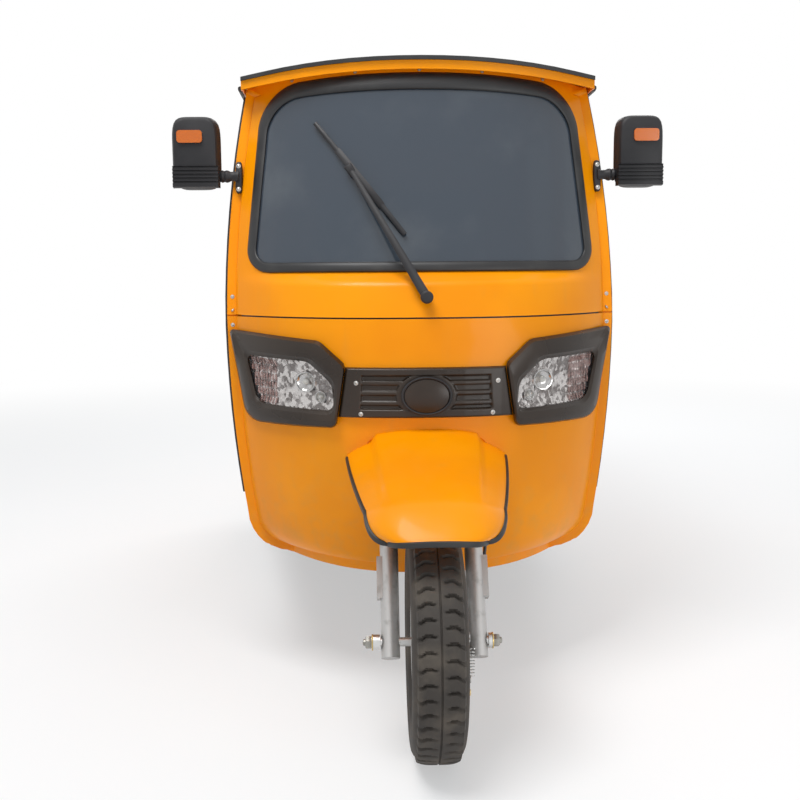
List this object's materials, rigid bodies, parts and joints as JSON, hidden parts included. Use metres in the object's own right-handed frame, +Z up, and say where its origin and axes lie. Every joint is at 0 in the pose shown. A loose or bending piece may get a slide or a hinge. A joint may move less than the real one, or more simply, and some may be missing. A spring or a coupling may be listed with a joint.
{
  "type": "electric utility cart",
  "caption": "Closed-cab electric passenger cart with a raked front fork, open sides, driver's seat, rear bench, roof and opening rear lid.",
  "frame": {"origin": "on the ground, under the middle of the bounding box", "axes": "+Z up, -Y forward, +X to the vehicle's left side"},
  "size_m": [1.3026, 2.721, 1.6443],
  "materials": {
    "body_paint": "gloss",
    "frame_black": "satin",
    "black_plastic": "satin",
    "rubber": "matte",
    "tyre": "matte",
    "wheel_steel": "satin",
    "fork_alloy": "satin",
    "glass": "polished",
    "lamp_glass": "polished",
    "reflector": "polished",
    "amber": "gloss",
    "red_lens": "gloss",
    "mirror": "polished",
    "seat": "satin",
    "battery": "satin",
    "spindle_steel": "satin"
  },
  "bodies": {
    "body": {"chassis_frame": "frame_black", "floor_pan": "frame_black", "side_sills": "body_paint", "cab_hoop": "body_paint", "nose_panel": "body_paint", "arch_liner": "black_plastic", "steering_head": "frame_black", "screen_surround": "body_paint", "screen_seal": "rubber", "windscreen": "glass", "grille_panel": "black_plastic", "lamp_bezels": "black_plastic", "lamp_bowls": "reflector", "lamp_lenses": "lamp_glass", "wiper": "black_plastic", "front_fender": "body_paint", "fender_lip": "rubber", "roof_panel": "body_paint", "edge_trim": "rubber", "dashboard": "black_plastic", "mirror_housings": "black_plastic", "mirror_glasses": "mirror", "mirror_lamps": "amber", "centre_posts": "body_paint", "partition": "body_paint", "side_panel_left": "body_paint", "side_panel_right": "body_paint", "rear_tub": "frame_black", "rear_panel": "body_paint", "rear_window": "glass", "tail_lamps": "red_lens", "rear_bumper": "black_plastic", "driver_pedestal": "frame_black", "driver_cushion": "seat", "driver_back": "seat", "bench_cushion": "seat", "bench_back": "seat", "battery_pack": "battery", "rear_axle": "frame_black", "leaf_springs": "frame_black"},
    "steering": {"fork": "fork_alloy", "handlebar": "black_plastic", "front_spindle": "spindle_steel", "front_brake": "fork_alloy", "brake_cable": "rubber"},
    "front_wheel": {"front_rim": "wheel_steel", "front_tyre": "tyre"},
    "rear_wheel_left": {"rear_rim_left": "wheel_steel", "rear_tyre_left": "tyre"},
    "rear_wheel_right": {"rear_rim_right": "wheel_steel", "rear_tyre_right": "tyre"},
    "lid": {"rear_lid": "body_paint"}
  },
  "joints": [
    {"name": "steering", "type": "hinge", "parent": "body", "child": "steering", "pos_m": [0, -1.05273, 0.234], "axis": [0, 0.5, 0.866], "range_deg": [-35, 35]},
    {"name": "front_wheel_spin", "type": "hinge", "parent": "steering", "child": "front_wheel", "pos_m": [0, -1.0995, 0.261], "axis": [1, 0, 0], "continuous": true},
    {"name": "rear_left_spin", "type": "hinge", "parent": "body", "child": "rear_wheel_left", "pos_m": [-0.485, 0.9005, 0.261], "axis": [1, 0, 0], "continuous": true},
    {"name": "rear_right_spin", "type": "hinge", "parent": "body", "child": "rear_wheel_right", "pos_m": [0.485, 0.9005, 0.261], "axis": [1, 0, 0], "continuous": true},
    {"name": "lid_hinge", "type": "hinge", "parent": "body", "child": "lid", "pos_m": [0, 1.3105, 0.892], "axis": [1, 0, 0], "range_deg": [0, 80]}
  ]
}
